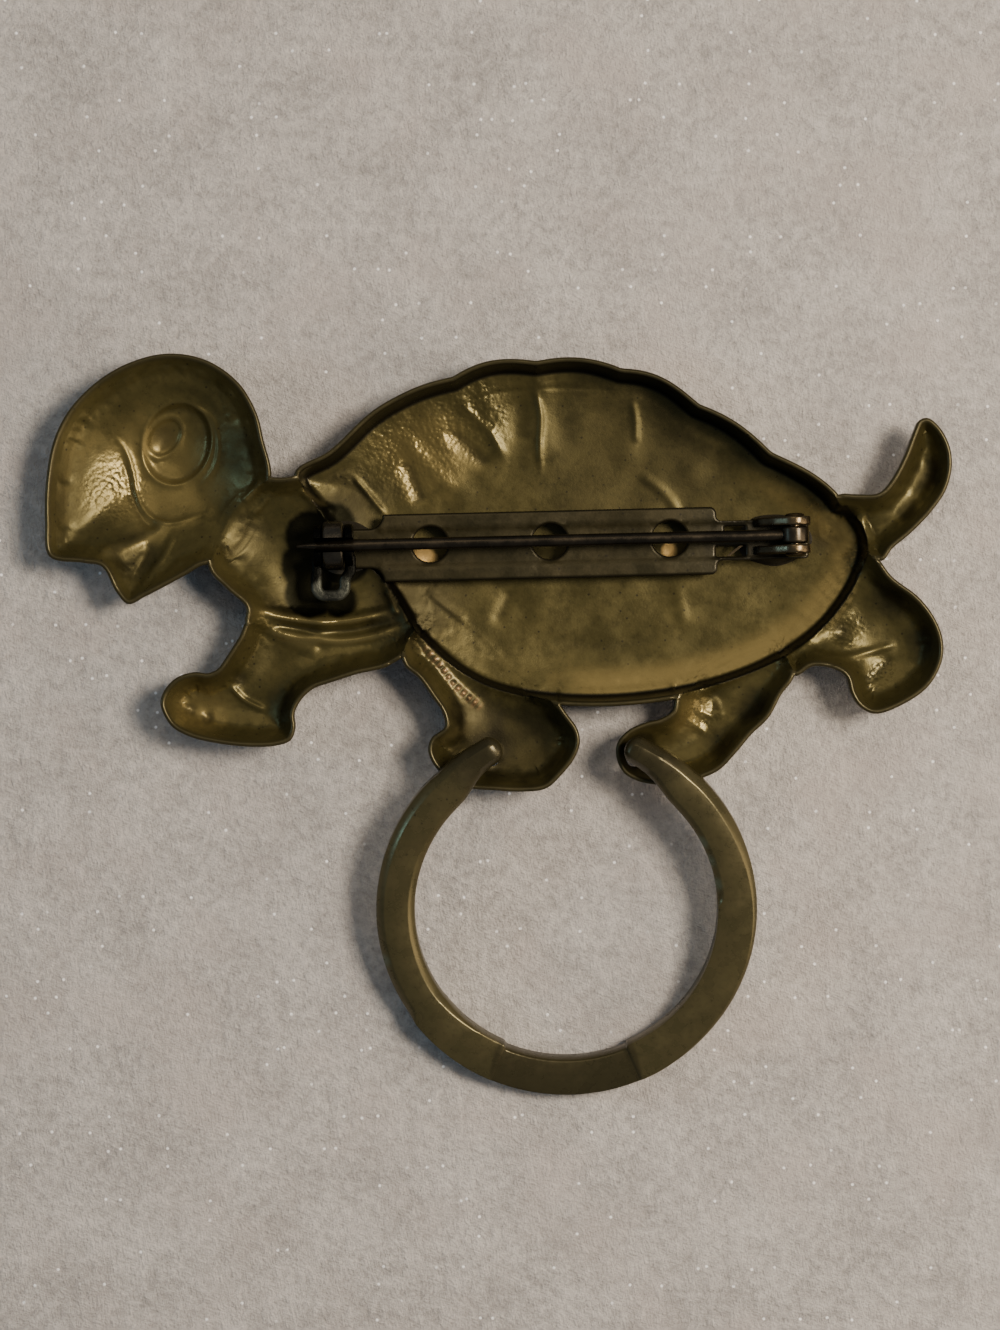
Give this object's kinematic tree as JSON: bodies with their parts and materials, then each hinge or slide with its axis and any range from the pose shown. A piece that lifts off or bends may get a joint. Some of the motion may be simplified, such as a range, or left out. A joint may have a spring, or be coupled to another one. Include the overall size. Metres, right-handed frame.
{
  "type": "turtle brooch with a hanging ring",
  "caption": "Hollow stamped brass turtle brooch with a bar pin, a rotating safety catch and an open ring hooked through its middle feet.",
  "frame": {"origin": "middle of the bounding box, at the level of the surface that the brooch lies face down on", "axes": "+X from the head to the tail, +Y from the feet to the crest of the shell, +Z out of the hollow back"},
  "size_m": [0.0686, 0.0564, 0.0069],
  "materials": {
    "stamped_brass": "antiqued olive-brown patina, worn golden on the high places",
    "finding_metal": "dull antiqued brass",
    "pin_wire": "dark browned wire",
    "catch_metal": "greyish worn plating",
    "ring_brass": "antiqued brass with a little verdigris"
  },
  "bodies": {
    "brooch": {"turtle_body": "stamped_brass", "hinge_rivet": "finding_metal"},
    "pin": {"pin_stem": "pin_wire"},
    "catch": {"catch_sleeve": "catch_metal"},
    "ring": {"drop_ring": "ring_brass"}
  },
  "joints": [
    {"name": "pin_hinge", "type": "hinge", "parent": "brooch", "child": "pin", "pos_m": [0.02243, 0.01448, 0.0043], "axis": [-0.0236, 0.9997, 0], "range_deg": [0, 100]},
    {"name": "catch_turn", "type": "hinge", "parent": "brooch", "child": "catch", "pos_m": [-0.01246, 0.01366, 0.0043], "axis": [-0.9997, -0.0236, 0], "range_deg": [0, 100]},
    {"name": "ring_swing", "type": "hinge", "parent": "brooch", "child": "ring", "pos_m": [0.00515, -0.00177, 0.0032], "axis": [-1, 0, 0], "range_deg": [0, 25]}
  ]
}
